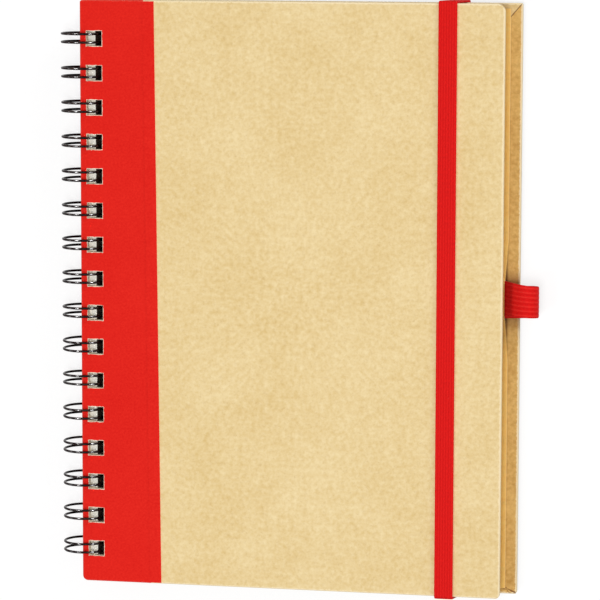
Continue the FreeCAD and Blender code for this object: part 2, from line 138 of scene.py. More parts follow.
def lay_surface(
    name: str,
    points: np.ndarray,
    uv: np.ndarray,
    closed: tuple[bool, bool] = (False, False),
    caps: bool = False,
    flip: bool = False,
) -> bpy.types.Object:
    """Mesh over a grid of points, one quad for each cell.

    Args:
        name: Name of the piece.
        points: Rows by columns by three, in millimetres.
        uv: Rows by columns by two, in millimetres along the surface; one more row or column
            than points where the grid closes on itself.
        closed: Whether the rows and the columns close on themselves.
        caps: Whether the first and last row are filled.
        flip: Whether the faces turn the other way.

    Returns:
        The new object, at the origin, with its place in its mesh.
    """
    rows, cols = points.shape[:2]
    row_spans = rows if closed[0] else rows - 1
    col_spans = cols if closed[1] else cols - 1
    i, j = np.meshgrid(np.arange(row_spans), np.arange(col_spans), indexing="ij")
    corners = [(i, j), (i, j + 1), (i + 1, j + 1), (i + 1, j)]
    if flip:
        corners.reverse()
    index = np.stack([(a % rows) * cols + b % cols for a, b in corners], axis=-1).reshape(-1)
    spots = np.stack([uv[a, b] for a, b in corners], axis=-2).reshape(-1, 2)
    totals = np.full(row_spans * col_spans, len(corners))
    if caps:
        first = np.arange(cols)
        last = first + (rows - 1) * cols
        ends = (first, last[::-1]) if flip else (first[::-1], last)
        index = np.concatenate([index, *ends])
        spots = np.concatenate([spots, uv[0, :cols], uv[-1, :cols]])
        totals = np.concatenate([totals, [cols, cols]])
    starts = np.concatenate([[0], np.cumsum(totals)[:-1]])

    mesh = bpy.data.meshes.new(name)
    mesh.vertices.add(rows * cols)
    mesh.vertices.foreach_set("co", (points * MM).astype(np.float32).reshape(-1))
    mesh.loops.add(len(index))
    mesh.loops.foreach_set("vertex_index", index.astype(np.int32))
    mesh.polygons.add(len(totals))
    mesh.polygons.foreach_set("loop_start", starts.astype(np.int32))
    mesh.polygons.foreach_set("loop_total", totals.astype(np.int32))
    mesh.polygons.foreach_set("use_smooth", np.ones(len(totals), dtype=bool))
    layer = mesh.uv_layers.new(name="Surface")
    layer.data.foreach_set("uv", spots.astype(np.float32).reshape(-1))
    mesh.update(calc_edges=True)
    mesh.validate()
    piece = bpy.data.objects.new(name, mesh)
    bpy.context.scene.collection.objects.link(piece)
    return piece


def lengths_along(path: np.ndarray) -> np.ndarray:
    """Distance of each point from the first, the steps between neighbours added up."""
    steps = np.linalg.norm(np.diff(path, axis=0), axis=1)
    return np.concatenate([[0.0], np.cumsum(steps)])


def unit(vectors: np.ndarray) -> np.ndarray:
    """Each vector divided by its length."""
    return vectors / np.linalg.norm(vectors, axis=1, keepdims=True)


def directions(path: np.ndarray) -> np.ndarray:
    """Unit direction of travel at each point, from its two neighbours."""
    return unit(np.gradient(path, axis=0))


def spread_uv(across: np.ndarray, along: np.ndarray) -> np.ndarray:
    """Place on a surface in millimetres: one distance for each column, one for each row."""
    return np.stack(np.broadcast_arrays(across[None], along[:, None]), axis=-1)


def carry(path: np.ndarray, across: np.ndarray, outward: np.ndarray, section: np.ndarray) -> np.ndarray:
    """Section carried along a path: path point + across times width + outward times height.

    Args:
        path: Points of the path, n by 3.
        across: Direction of the section's width at each point, n by 3.
        outward: Direction of its height at each point, n by 3.
        section: Width and height of each corner, m by 2, or n by m by 2 where it changes.

    Returns:
        The points of the surface, n by m by 3.
    """
    shape = np.broadcast_to(section, (len(path),) + section.shape[-2:])
    return path[:, None] + across[:, None] * shape[..., :1] + outward[:, None] * shape[..., 1:]


def arc(centre: tuple[float, float], radius: float, low: float, high: float, steps: int) -> np.ndarray:
    """Points of an arc in a plane: centre + radius times cosine and sine, angles in degrees."""
    angles = np.radians(np.linspace(low, high, steps + 1))
    return np.stack([centre[0] + radius * np.cos(angles), centre[1] + radius * np.sin(angles)], axis=1)


# Node helpers


class Graph:
    """Nodes of one material or effect, added and linked by short calls."""

    def __init__(self, tree: bpy.types.NodeTree) -> None:
        """Start on a node tree."""
        self.tree = tree

    def feed(self, node: bpy.types.Node, feeds: Feeds) -> bpy.types.Node:
        """Give a node's inputs a value or another node's output each."""
        for socket, feed in feeds.items():
            if isinstance(feed, Socket):
                self.tree.links.new(feed, node.inputs[socket])
            else:
                node.inputs[socket].default_value = feed
        return node

    def add(self, kind: str, feeds: Feeds, **settings: object) -> bpy.types.Node:
        """One node with its settings, and its inputs fed.

        Args:
            kind: The node's type.
            feeds: What each input gets, a value or another node's output.
            **settings: The node's own options.

        Returns:
            The node.
        """
        node = self.tree.nodes.new(kind)
        for option, choice in settings.items():
            setattr(node, option, choice)
        return self.feed(node, feeds)

    def use(self, effect: bpy.types.NodeTree, feeds: Feeds) -> bpy.types.bpy_prop_collection:
        """Outputs of one use of a shared effect."""
        node = self.tree.nodes.new("ShaderNodeGroup")
        node.node_tree = effect
        return self.feed(node, feeds).outputs

    def calc(self, operation: str, *values: Feed, clamp: bool = False) -> Socket:
        """Arithmetic on one to three values."""
        feeds = dict(enumerate(values))
        return self.add("ShaderNodeMath", feeds, operation=operation, use_clamp=clamp).outputs[0]

    def chain(self, operation: str, values: tuple[Feed, ...]) -> Feed:
        """The same arithmetic on a row of values, one after the other."""
        total = values[0]
        for value in values[1:]:
            total = self.calc(operation, total, value)
        return total

    def plus(self, *values: Feed) -> Feed:
        """Sum of the values."""
        return self.chain("ADD", values)

    def minus(self, first: Feed, second: Feed, clamp: bool = False) -> Socket:
        """The first value less the second."""
        return self.calc("SUBTRACT", first, second, clamp=clamp)

    def times(self, *values: Feed) -> Feed:
        """Product of the values."""
        return self.chain("MULTIPLY", values)

    def least(self, *values: Feed) -> Feed:
        """Smallest of the values."""
        return self.chain("MINIMUM", values)

    def most(self, *values: Feed) -> Feed:
        """Largest of the values."""
        return self.chain("MAXIMUM", values)

    def size(self, value: Feed) -> Socket:
        """A value without its sign."""
        return self.calc("ABSOLUTE", value)

    def vector(self, operation: str, *values: Feed) -> Socket:
        """Arithmetic on vectors."""
        return self.add("ShaderNodeVectorMath", dict(enumerate(values)), operation=operation).outputs[0]

    def split(self, vector: Feed) -> list[Socket]:
        """The three parts of a vector."""
        return list(self.add("ShaderNodeSeparateXYZ", {0: vector}).outputs)

    def stretch(self, vector: Feed, scale: Place, turn: float) -> Socket:
        """Pattern coordinates turned about Z by an angle in degrees, then scaled."""
        feeds = {"Vector": vector, "Angle": math.radians(turn)}
        turned = self.add("ShaderNodeVectorRotate", feeds, rotation_type="Z_AXIS").outputs[0]
        return self.vector("MULTIPLY", turned, scale)

    def noise(self, vector: Feed, scale: float, detail: float = 3.0, roughness: float = 0.55) -> Socket:
        """Noise from 0 to 1."""
        feeds = {"Vector": vector, "Scale": scale, "Detail": detail, "Roughness": roughness}
        return self.add("ShaderNodeTexNoise", feeds).outputs[0]

    def ramp(self, value: Feed, low: Feed, high: Feed, start: Feed = 0.0, end: Feed = 1.0) -> Socket:
        """Smooth step of a value between two limits."""
        feeds = {0: value, 1: low, 2: high, 3: start, 4: end}
        return self.add("ShaderNodeMapRange", feeds, interpolation_type="SMOOTHSTEP").outputs[0]

    def blend(self, share: Feed, first: Feed, second: Feed) -> Socket:
        """Mix of two colours by a share."""
        return self.add("ShaderNodeMix", {0: share, 6: first, 7: second}, data_type="RGBA").outputs[2]

    def tint(self, colour: Feed, tone: Tone, mask: Feed) -> Socket:
        """Colour mixed towards a tone where a mask is, at most by the tone's strength."""
        return self.blend(self.times(mask, tone.strength), colour, tone.colour)

    def facing(self) -> Socket:
        """How far a face looks up the piece's own Z, from -1 to 1."""
        return self.split(self.add("ShaderNodeTexCoord", {}).outputs["Normal"])[2]

    def seen(self) -> Feed:
        """Whether a ray comes from the camera, or by a mirror or glass."""
        rays = self.add("ShaderNodeLightPath", {}).outputs
        return self.most(rays["Is Camera Ray"], rays["Is Glossy Ray"], rays["Is Transmission Ray"])

    def finish(self, kind: str, result: Socket) -> None:
        """Send the result to the tree's output."""
        output = self.tree.nodes.new(kind)
        self.tree.links.new(result, output.inputs[0])


class Effect:
    """A shared effect: a node group with named inputs and outputs."""

    def __init__(self, name: str, inputs: dict[str, Union[float, None]], outputs: tuple[str, ...]) -> None:
        """Make the empty group.

        Args:
            name: The effect's name.
            inputs: For each input its default number, or None where it is a vector.
            outputs: Names of the values that it puts out.
        """
        self.tree = bpy.data.node_groups.new(name, "ShaderNodeTree")
        for label, default in inputs.items():
            kind = "NodeSocketVector" if default is None else "NodeSocketFloat"
            socket = self.tree.interface.new_socket(name=label, in_out="INPUT", socket_type=kind)
            if default is not None:
                socket.default_value = default
        for label in outputs:
            self.tree.interface.new_socket(name=label, in_out="OUTPUT", socket_type="NodeSocketFloat")
        self.graph = Graph(self.tree)
        self.inputs = self.tree.nodes.new("NodeGroupInput").outputs
        self.out = self.tree.nodes.new("NodeGroupOutput").inputs

    def give(self, **values: Socket) -> bpy.types.NodeTree:
        """Send a value to each output, and hand over the finished group."""
        for label, value in values.items():
            self.tree.links.new(value, self.out[label])
        return self.tree


# Shared effects


class Effects:
    """The effects that several finishes share, each built once."""

    def __init__(self) -> None:
        """Build them all."""
        self.fibres = self.build_fibres()
        self.flecks = self.build_flecks()
        self.fold_wear_and_highlight = self.build_fold_wear_and_highlight()
        self.mitre = self.build_mitre()
        self.paste_seam = self.build_paste_seam()
        self.threads = self.build_threads()
        self.punched_rim = self.build_punched_rim()

    @staticmethod
    def build_fibres() -> bpy.types.NodeTree:
        """Paper pulp: cloudy patches, a fine mottle and short fibres lying three ways.

        A fibre is where a stretched noise crosses its middle value.
        """
        effect = Effect("paper_fibres", {"Place": None}, ("Cloud", "Mottle", "Fibre", "Height"))
        graph, place = effect.graph, effect.inputs["Place"]
        wide, narrow = graph.noise(place, 0.045, 2.0), graph.noise(place, 0.3, 3.0, 0.6)
        cloud = graph.plus(graph.times(wide, 0.5), graph.times(narrow, 0.5))
        mottle = graph.noise(place, 0.62, 5.0, 0.62)
        strands = []
        for turn, along, over in ((24.0, 0.5, 3.4), (-41.0, 0.6, 4.0), (83.0, 0.55, 3.7)):
            lying = graph.stretch(place, (along, over, over), turn)
            ridge = graph.size(graph.minus(graph.noise(lying, 0.8, 1.0), 0.5))
            strands.append(graph.ramp(ridge, 0.0, 0.035, 1.0, 0.0))
        patchy = graph.ramp(graph.noise(place, 0.75, 2.0), 0.5, 0.68)
        fibre = graph.times(graph.most(*strands), patchy)
        height = graph.plus(graph.times(mottle, 0.7), graph.times(fibre, 0.3))
        return effect.give(Cloud=cloud, Mottle=mottle, Fibre=fibre, Height=height)

    @staticmethod
    def build_flecks() -> bpy.types.NodeTree:
        """Scattered specks: a few cells of a cell pattern have a spot, each of its own size."""
        inputs = {"Place": None, "Spacing": 6.0, "Share": 0.3, "Size": 0.2}
        effect = Effect("flecks", inputs, ("Mask",))
        graph, given = effect.graph, effect.inputs
        swirl = graph.add("ShaderNodeTexNoise", {"Vector": given["Place"], "Scale": 2.2}).outputs[1]
        bent = graph.vector("ADD", given["Place"], graph.vector("MULTIPLY", swirl, (0.5, 0.5, 0.5)))
        density = graph.calc("DIVIDE", 1.0, given["Spacing"])
        cells = graph.add("ShaderNodeTexVoronoi", {"Vector": bent, "Scale": density})
        distance = graph.times(cells.outputs["Distance"], given["Spacing"])
        chance, girth, _ = graph.split(cells.outputs["Color"])
        chosen = graph.calc("LESS_THAN", chance, given["Share"])
        radius = graph.times(given["Size"], graph.plus(girth, 0.35))
        spot = graph.ramp(distance, graph.times(radius, 0.55), radius, 1.0, 0.0)
        return effect.give(Mask=graph.times(spot, chosen))

    @staticmethod
    def build_fold_wear_and_highlight() -> bpy.types.NodeTree:
        """Rubbed folds with a painted highlight: the distance to the cover's nearest outer edge, made
        uneven by noise.
        """
        inputs = {
            "Place": None,
            "Spine edge": Edges.spine,
            "Fore-edge": FAR,
            "Half height": Edges.half_height,
            "Width": 0.8,
        }
        effect = Effect("fold_wear_and_highlight", inputs, ("Mask", "Distance"))
        graph, given = effect.graph, effect.inputs
        x, y, _ = graph.split(given["Place"])
        to_fore = graph.minus(given["Fore-edge"], x)
        to_spine = graph.minus(x, given["Spine edge"])
        to_end = graph.minus(given["Half height"], graph.size(y))
        nearest = graph.least(to_fore, to_spine, to_end)
        uneven = graph.ramp(graph.noise(given["Place"], 0.9, 3.0, 0.7), 0.25, 0.75, 0.55, 1.25)
        reach = graph.times(given["Width"], uneven)
        mask = graph.ramp(nearest, graph.times(reach, 0.45), reach, 1.0, 0.0)
        return effect.give(Mask=mask, Distance=nearest)

    @staticmethod
    def build_mitre() -> bpy.types.NodeTree:
        """Mitred corners of the turned-in margins: a thin slit from each corner inwards.

        The slit is where the way down from the corner is the way in times its slant. The one at
        the tail lies flatter and is crumpled, with a second crease inside it. Head is the margin
        beyond the slit at the head, which is turned in over the other.
        """
        inputs = {
            "Place": None,
            "Fore-edge": Edges.fore,
            "Half height": Edges.half_height,
            "Slant at head": 1.15,
            "Slant at tail": 0.55,
        }
        effect = Effect("mitre_slit", inputs, ("Mask", "Head"))
        graph, given = effect.graph, effect.inputs
        x, y, _ = graph.split(given["Place"])
        tail = graph.calc("LESS_THAN", y, 0.0)
        slant = graph.ramp(tail, 0.0, 1.0, given["Slant at head"], given["Slant at tail"])
        aside = graph.minus(given["Fore-edge"], x)
        down = graph.minus(given["Half height"], graph.size(y))
        sway = graph.minus(graph.noise(given["Place"], 0.6), 0.5)
        wander = graph.times(sway, graph.calc("MULTIPLY_ADD", tail, 2.0, 0.5))
        off = graph.plus(graph.minus(down, graph.times(aside, slant)), wander)
        slit = graph.ramp(graph.size(off), 0.08, 0.42, 1.0, 0.0)
        crease = graph.ramp(graph.size(graph.plus(off, 0.9)), 0.05, 0.4, 0.8, 0.0)
        crease = graph.times(crease, tail, graph.ramp(aside, 1.6, 2.6))
        short = graph.ramp(aside, 5.2, 6.4, 1.0, 0.0)
        mask = graph.times(graph.most(slit, crease), short, graph.ramp(aside, 0.15, 0.5))
        head = graph.times(graph.ramp(off, -0.3, 0.3, 1.0, 0.0), graph.minus(1.0, tail))
        return effect.give(Mask=mask, Head=head)

    @staticmethod
    def build_paste_seam() -> bpy.types.NodeTree:
        """Shaded seam along a glued sheet's fore-edge, which draws in beside the pen loop.

        The line is the distance outside the edge, and it widens and darkens with the draw-in.
        Shade is the margin outside the edge, close to the pen loop.
        """
        inputs = {
            "Place": None,
            "Edge": Edges.endpaper_fore,
            "Draw-in": 1.1,
            "Middle": 0.0,
            "Half": 7.2,
            "Length": 15.0,
            "Half height": Edges.endpaper_half_height,
        }
        effect = Effect("paste_seam", inputs, ("Line", "Shade"))
        graph, given = effect.graph, effect.inputs
        x, y, _ = graph.split(given["Place"])
        away = graph.size(graph.minus(y, given["Middle"]))
        past = graph.calc("DIVIDE", graph.minus(away, given["Half"]), given["Length"])
        drawn = graph.minus(1.0, past, clamp=True)
        drawn = graph.times(drawn, graph.calc("GREATER_THAN", given["Draw-in"], 0.01))
        steep = graph.calc("POWER", drawn, 2.0)
        edge = graph.minus(given["Edge"], graph.times(drawn, given["Draw-in"]))
        wander = graph.times(graph.minus(graph.noise(given["Place"], 0.5), 0.5), 0.12)
        past_end = graph.minus(graph.size(y), given["Half height"])
        off = graph.most(graph.plus(graph.minus(x, edge), wander), past_end)
        width = graph.plus(steep, 0.5)
        line = graph.ramp(off, graph.times(width, 0.2), width, 1.0, 0.0)
        depth = graph.calc("MULTIPLY_ADD", steep, 0.8, 0.15)
        near = graph.calc("GREATER_THAN", off, -0.3)
        start, stop = graph.minus(given["Half"], 1.0), graph.plus(given["Half"], 5.5)
        beside = graph.ramp(away, start, stop, 1.0, 0.0)
        beside = graph.times(beside, graph.calc("GREATER_THAN", drawn, 0.0))
        shade = graph.times(beside, graph.ramp(off, -0.1, 0.4))
        return effect.give(Line=graph.times(line, depth, near), Shade=shade)

    @staticmethod
    def build_punched_rim() -> bpy.types.NodeTree:
        """Torn rims of the punched holes: the distance outside a rectangle that repeats at the pitch."""
        inputs = {
            "Place": None,
            "Hole left": Edges.spine + Punching.cover_margin,
            "Hole width": Punching.width,
            "Hole height": Punching.height,
            "First row": Punching.first_row,
            "Rows": float(Punching.count),
            "Pitch": Punching.pitch,
            "Rim": 0.28,
        }
        effect = Effect("punched_rim", inputs, ("Rim", "Inside"))
        graph, given = effect.graph, effect.inputs
        x, y, _ = graph.split(given["Place"])
        half_wide, half_high, half_pitch = (
            graph.times(given[label], 0.5) for label in ("Hole width", "Hole height", "Pitch")
        )
        aside = graph.minus(x, graph.plus(given["Hole left"], half_wide))
        aside = graph.minus(graph.size(aside), half_wide)
        up = graph.minus(y, given["First row"])
        in_row = graph.calc("WRAP", up, half_pitch, graph.times(half_pitch, -1.0))
        in_row = graph.minus(graph.size(in_row), half_high)
        off = graph.most(aside, in_row)
        row = graph.calc("ROUND", graph.calc("DIVIDE", up, given["Pitch"]))
        below, above = graph.calc("GREATER_THAN", row, -0.5), graph.calc("LESS_THAN", row, given["Rows"])
        real = graph.times(below, above)
        uneven = graph.ramp(graph.noise(given["Place"], 0.8, 3.0, 0.7), 0.3, 0.7, 0.25, 1.3)
        reach = graph.times(given["Rim"], uneven)
        rim = graph.ramp(off, graph.times(reach, 0.5), reach, 1.0, 0.0)
        inside = graph.calc("LESS_THAN", off, 0.05)
        return effect.give(Rim=graph.times(rim, real), Inside=graph.times(inside, real))

    @staticmethod
    def build_threads() -> bpy.types.NodeTree:
        """Woven elastic: cross threads in staggered rows along the ribs, from the strip's own UV.

        Both a thread and a rib are a sine wave, one along the strip and one across it.
        """
        inputs = {"Surface": None, "Rib": 0.97, "Pitch": 0.42}
        effect = Effect("elastic_threads", inputs, ("Shade", "Height", "Crest"))
        graph, given = effect.graph, effect.inputs
        u, v, _ = graph.split(given["Surface"])
        rib = graph.calc("DIVIDE", u, given["Rib"])
        row = graph.times(graph.calc("MODULO", graph.calc("FLOOR", rib), 2.0), 0.5)
        turn = graph.plus(graph.calc("DIVIDE", v, given["Pitch"]), row)
        thread = graph.calc("MULTIPLY_ADD", graph.calc("SINE", graph.times(turn, FULL_TURN)), 0.5, 0.5)
        across = graph.calc("SINE", graph.times(graph.calc("FRACT", rib), math.pi))
        loose = graph.noise(graph.vector("MULTIPLY", given["Surface"], (3.0, 0.6, 1.0)), 1.6)
        height = graph.plus(graph.times(thread, 0.35), graph.times(across, 0.65))
        shade = graph.plus(graph.times(height, 0.3), graph.times(loose, 1.3))
        frayed = graph.ramp(graph.noise(given["Surface"], 0.9), 0.3, 0.6, 0.5, 1.0)
        # Mask of the rib tops, where a highlight is painted.
        crest = graph.times(graph.ramp(across, 0.78, 1.0), frayed)
        return effect.give(Shade=graph.minus(shade, 0.34, clamp=True), Height=height, Crest=crest)


# Finishes


@dataclass(frozen=True)
class Finish:
    """Start of every finish: a named material."""

    name: str

    def material(self) -> bpy.types.Material:
        """New material whose tree holds the finish's shader.

        Returns:
            The material.
        """
        material = bpy.data.materials.new(self.name)
        material.use_nodes = True
        material.node_tree.nodes.clear()
        graph = Graph(material.node_tree)
        place = graph.add("ShaderNodeTexCoord", {}).outputs["Object"]
        place = graph.vector("MULTIPLY", place, (METRE, METRE, METRE))
        graph.finish("ShaderNodeOutputMaterial", self.paint(graph, place))
        return material

    def paint(self, graph: Graph, place: Socket) -> Socket:
        """Shader of the finish, which each kind of finish makes in its own way.

        Args:
            graph: The material's graph.
            place: Place on the piece in millimetres.

        Returns:
            The shader.
        """
        raise NotImplementedError

    @staticmethod
    def coat(
        graph: Graph,
        colour: Feed,
        roughness: Feed,
        specular: float,
        height: Feed,
        depth: float,
        sheen: float = 0.0,
    ) -> Socket:
        """Shader of an opaque coat with a fine relief.

        Args:
            graph: The material's graph.
            colour: Colour of the coat.
            roughness: Roughness from 0 to 1.
            specular: How strongly it mirrors.
            height: Relief from 0 to 1.
            depth: How deep the relief is, in millimetres.
            sheen: Strength of the fuzz on a fabric.

        Returns:
            The shader.
        """
        bump = graph.add("ShaderNodeBump", {"Height": height, "Distance": depth * MM, "Strength": 1.0})
        feeds = {
            "Base Color": colour,
            "Roughness": roughness,
            "Specular IOR Level": specular,
            "Sheen Weight": sheen,
            "Sheen Roughness": 0.4,
            "Normal": bump.outputs[0],
        }
        return graph.add("ShaderNodeBsdfPrincipled", feeds).outputs[0]

    @staticmethod
    def scatter(
        graph: Graph, flecks: bpy.types.NodeTree, place: Socket, colour: Feed, specks: Specks
    ) -> Socket:
        """Colour with specks strewn over it by the flecks effect."""
        feeds = {"Place": place, "Spacing": specks.spacing, "Share": specks.share, "Size": specks.size}
        return graph.tint(colour, specks, graph.use(flecks, feeds)["Mask"])


@dataclass(frozen=True)
class KraftFinish(Finish):
    """Kraft paper of a cover: clouded pulp, fibres, flecks, pale folds that are partly rubbed and partly a
    painted highlight.

    A wrapping sheet has mitred corners and turned-in margins painted darker as shade. An
    endpaper, which is not mitred, has that painted shade only along its edges.
    """

    effects: Effects
    side: Side
    fore_edge: float
    dark: Ink = ink(214, 179, 108)
    light: Ink = ink(248, 228, 180)
    # Pale folds: partly rubbed paper, partly a painted highlight.
    wear_and_highlight: Tone = Tone(ink(252, 234, 194), 0.75)
    # Painted shade for the turned-in margins and the endpaper's edges.
    margin_shade_dark: Ink = ink(190, 137, 58)
    margin_shade_light: Ink = ink(228, 182, 98)
    fibre: Tone = Tone(ink(176, 134, 84), 0.22)
    pale: Specks = Specks(ink(253, 246, 226), 0.55, spacing=9.0, share=0.22, size=0.2)
    dirt: Specks = Specks(ink(112, 74, 38), 0.7, spacing=17.0, share=0.2, size=0.26)
    # Painted shade in the mitres' slits and crease.
    slit: Tone = Tone(ink(108, 60, 26), 0.85)
    # Painted shade round the pen loop.
    painted_loop_shade: Tone = Tone(ink(122, 74, 36), 0.6)
    # Painted shadow along the endpaper's edge.
    seam_shadow: Ink = ink(84, 44, 20)
    fold_width: float = 0.85
    pasted_to: float = FAR
    draw_in: float = 0.0
    draw_middle: float = 0.0
    mitred: bool = True

    def margin(
        self, graph: Graph, place: Socket, colour: Socket, inside: Socket, slit: Socket
    ) -> tuple[Socket, Socket]:
        """Slits and seam of the turned-in margins, with painted shade: dark slits, a shadow line along the
        seam, and shade round the pen loop.

        Args:
            graph: The material's graph.
            place: Place on the piece in millimetres.
            colour: Colour so far.
            inside: Mask of the faces that look into the book.
            slit: Mask of the mitred corners' slits.

        Returns:
            The colour, and the mask of what is sunk.
        """
        # Painted shade: the mitres' slits and the crease at the tail are drawn dark where shade falls in
        # them.
        colour = graph.tint(colour, self.slit, slit)
        feeds = {
            "Place": place,
            "Edge": self.pasted_to,
            "Draw-in": self.draw_in,
            "Middle": self.draw_middle,
        }
        paste = graph.use(self.effects.paste_seam, feeds)
        # Painted shade on the margin outside the endpaper's edge, close to the pen loop.
        colour = graph.tint(colour, self.painted_loop_shade, graph.times(paste["Shade"], inside))
        # Painted shadow: a dark line along the endpaper's edge, widest and darkest beside the pen loop.
        seam_shadow = graph.times(paste["Line"], inside)
        return graph.blend(seam_shadow, colour, self.seam_shadow), graph.most(slit, seam_shadow)

    def paint(self, graph: Graph, place: Socket) -> Socket:
        """Shader of the finish."""
        pulp = graph.use(self.effects.fibres, {"Place": place})
        share = graph.plus(graph.times(pulp["Cloud"], 0.9), pulp["Mottle"])
        share = graph.minus(share, 0.42, clamp=True)
        inwards = graph.times(graph.facing(), -float(self.side.value))
        inside = graph.calc("GREATER_THAN", inwards, 0.5)
        mitre = graph.use(self.effects.mitre, {"Place": place, "Fore-edge": self.fore_edge})
        folds = {
            "Place": place,
            "Spine edge": -FAR,
            "Fore-edge": self.fore_edge,
            "Width": self.fold_width,
        }
        edge_wear_and_highlight = graph.use(self.effects.fold_wear_and_highlight, folds)

        colour = graph.blend(share, self.dark, self.light)
        # Painted shade: the turned-in margins, less at the head, and an endpaper's edges are tinted
        # towards the margin shade colours.
        if self.mitred:
            tone = graph.ramp(share, 0.15, 0.85)
            margin_shade_share = graph.calc("MULTIPLY_ADD", mitre["Head"], -0.6, 0.85)
        else:
            tone = share
            margin_shade_share = graph.ramp(edge_wear_and_highlight["Distance"], 2.4, 7.5, 1.0, 0.0)
        margin_shade = graph.blend(tone, self.margin_shade_dark, self.margin_shade_light)
        colour = graph.blend(graph.times(inside, margin_shade_share), colour, margin_shade)
        colour = graph.tint(colour, self.fibre, pulp["Fibre"])
        colour = self.scatter(graph, self.effects.flecks, place, colour, self.pale)
        shifted = graph.vector("ADD", place, (37.0, 11.0, 0.0))
        colour = self.scatter(graph, self.effects.flecks, shifted, colour, self.dirt)
        # Painted highlight along the folds, together with some rubbing.
        colour = graph.tint(colour, self.wear_and_highlight, edge_wear_and_highlight["Mask"])
        height = pulp["Height"]
        if self.mitred:
            slit = graph.times(mitre["Mask"], inside)
            colour, sunk = self.margin(graph, place, colour, inside, slit)
            height = graph.minus(height, sunk)
        rough = graph.ramp(pulp["Mottle"], 0.2, 0.8, 0.82, 0.68)
        return self.coat(graph, colour, rough, specular=0.25, height=height, depth=0.035)


@dataclass(frozen=True)
class SpinePaperFinish(Finish):
    """Coloured spine strip: even red with a fine grain, a few pale specks, lighter folds that are partly
    rubbed and partly a painted highlight.
    """

    effects: Effects
    dark: Ink = ink(206, 0, 0)
    light: Ink = ink(243, 46, 32)
    pale: Specks = Specks(ink(255, 176, 150), 0.4, spacing=8.0, share=0.3, size=0.16)
    # Pale folds: partly rubbed paper, partly a painted highlight.
    wear_and_highlight: Tone = Tone(ink(244, 112, 96), 0.3)
    core: Tone = Tone(ink(250, 236, 210), 0.85)

    def paint(self, graph: Graph, place: Socket) -> Socket:
        """Shader of the finish."""
        pulp = graph.use(self.effects.fibres, {"Place": place})
        grain = graph.noise(place, 1.3, 5.0, 0.75)
        share = graph.plus(graph.times(pulp["Cloud"], 0.4), graph.times(grain, 1.3))
        colour = graph.blend(graph.minus(share, 0.35, clamp=True), self.dark, self.light)
        colour = self.scatter(graph, self.effects.flecks, place, colour, self.pale)
        # Painted highlight along the strip's folds, together with some rubbing.
        folds = {"Place": place, "Fore-edge": FAR, "Width": 0.6}
        colour = graph.tint(colour, self.wear_and_highlight, graph.use(self.effects.fold_wear_and_highlight, folds)["Mask"])
        punched = graph.use(self.effects.punched_rim, {"Place": place})
        colour = graph.tint(colour, self.core, punched["Rim"])
        height = graph.plus(graph.times(grain, 0.6), graph.times(pulp["Height"], 0.4))
        return self.coat(graph, colour, roughness=0.62, specular=0.08, height=height, depth=0.02)


@dataclass(frozen=True)
class BoardFinish(Finish):
    """Bare board in the punched holes: pressed layers seen edge on."""

    effects: Effects
    dark: Ink = ink(214, 202, 172)
    light: Ink = ink(248, 243, 226)

    def paint(self, graph: Graph, place: Socket) -> Socket:
        """Shader of the finish."""
        layers = graph.noise(graph.vector("MULTIPLY", place, (0.4, 0.4, 9.0)), 1.0)
        pulp = graph.use(self.effects.fibres, {"Place": place})
        share = graph.plus(graph.times(layers, 0.7), graph.times(pulp["Mottle"], 0.3))
        colour = graph.blend(share, self.dark, self.light)
        return self.coat(graph, colour, roughness=0.9, specular=0.2, height=share, depth=0.06)


@dataclass(frozen=True)
class LeafFinish(Finish):
    """Writing paper: plain on its face, layered with fine lines along its cut edges; painted shade darkens
    the lines between leaves and the walls of the punched holes.
    """

    effects: Effects
    hole_left: float
    thickness: float = 0.1
    face_dark: Ink = ink(248, 245, 234)
    face_light: Ink = ink(255, 254, 248)
    streak: Tone = Tone(ink(206, 198, 178), 0.3)
    # Painted shade in the grooves between leaves.
    leaf_gap_shade: Tone = Tone(ink(150, 138, 116), 0.45)
    # Painted shade on the punched holes' walls.
    hole_wall_shade: Tone = Tone(ink(96, 64, 44), 0.93)

    def paint(self, graph: Graph, place: Socket) -> Socket:
        """Shader of the finish."""
        edge_on = graph.ramp(graph.size(graph.facing()), 0.35, 0.8, 1.0, 0.0)
        turns = graph.calc("DIVIDE", graph.split(place)[2], self.thickness)
        line = graph.size(graph.minus(graph.calc("FRACT", turns), 0.5))
        # Painted shade: the lines between leaves on the cut edges are darkened as shade in the grooves.
        leaf_gap_shade = graph.times(graph.ramp(line, 0.3, 0.5), edge_on)
        leaf = {"W": graph.calc("FLOOR", turns)}
        tone = graph.add("ShaderNodeTexWhiteNoise", leaf, noise_dimensions="1D").outputs[0]
        smear = graph.noise(graph.vector("MULTIPLY", place, (0.35, 0.35, 14.0)), 1.0)
        streak = graph.times(graph.plus(graph.times(tone, 0.5), smear), edge_on)
        face = graph.noise(place, 2.5)
        colour = graph.blend(face, self.face_dark, self.face_light)
        colour = graph.tint(colour, self.streak, streak)
        colour = graph.tint(colour, self.leaf_gap_shade, leaf_gap_shade)
        punched = graph.use(self.effects.punched_rim, {"Place": place, "Hole left": self.hole_left})
        # Painted shade: the punched holes' walls are drawn dark brown, as in deep shade.
        colour = graph.tint(colour, self.hole_wall_shade, graph.times(punched["Inside"], edge_on))
        height = graph.minus(graph.times(face, 0.3), leaf_gap_shade)
        return self.coat(graph, colour, roughness=0.85, specular=0.2, height=height, depth=0.03)


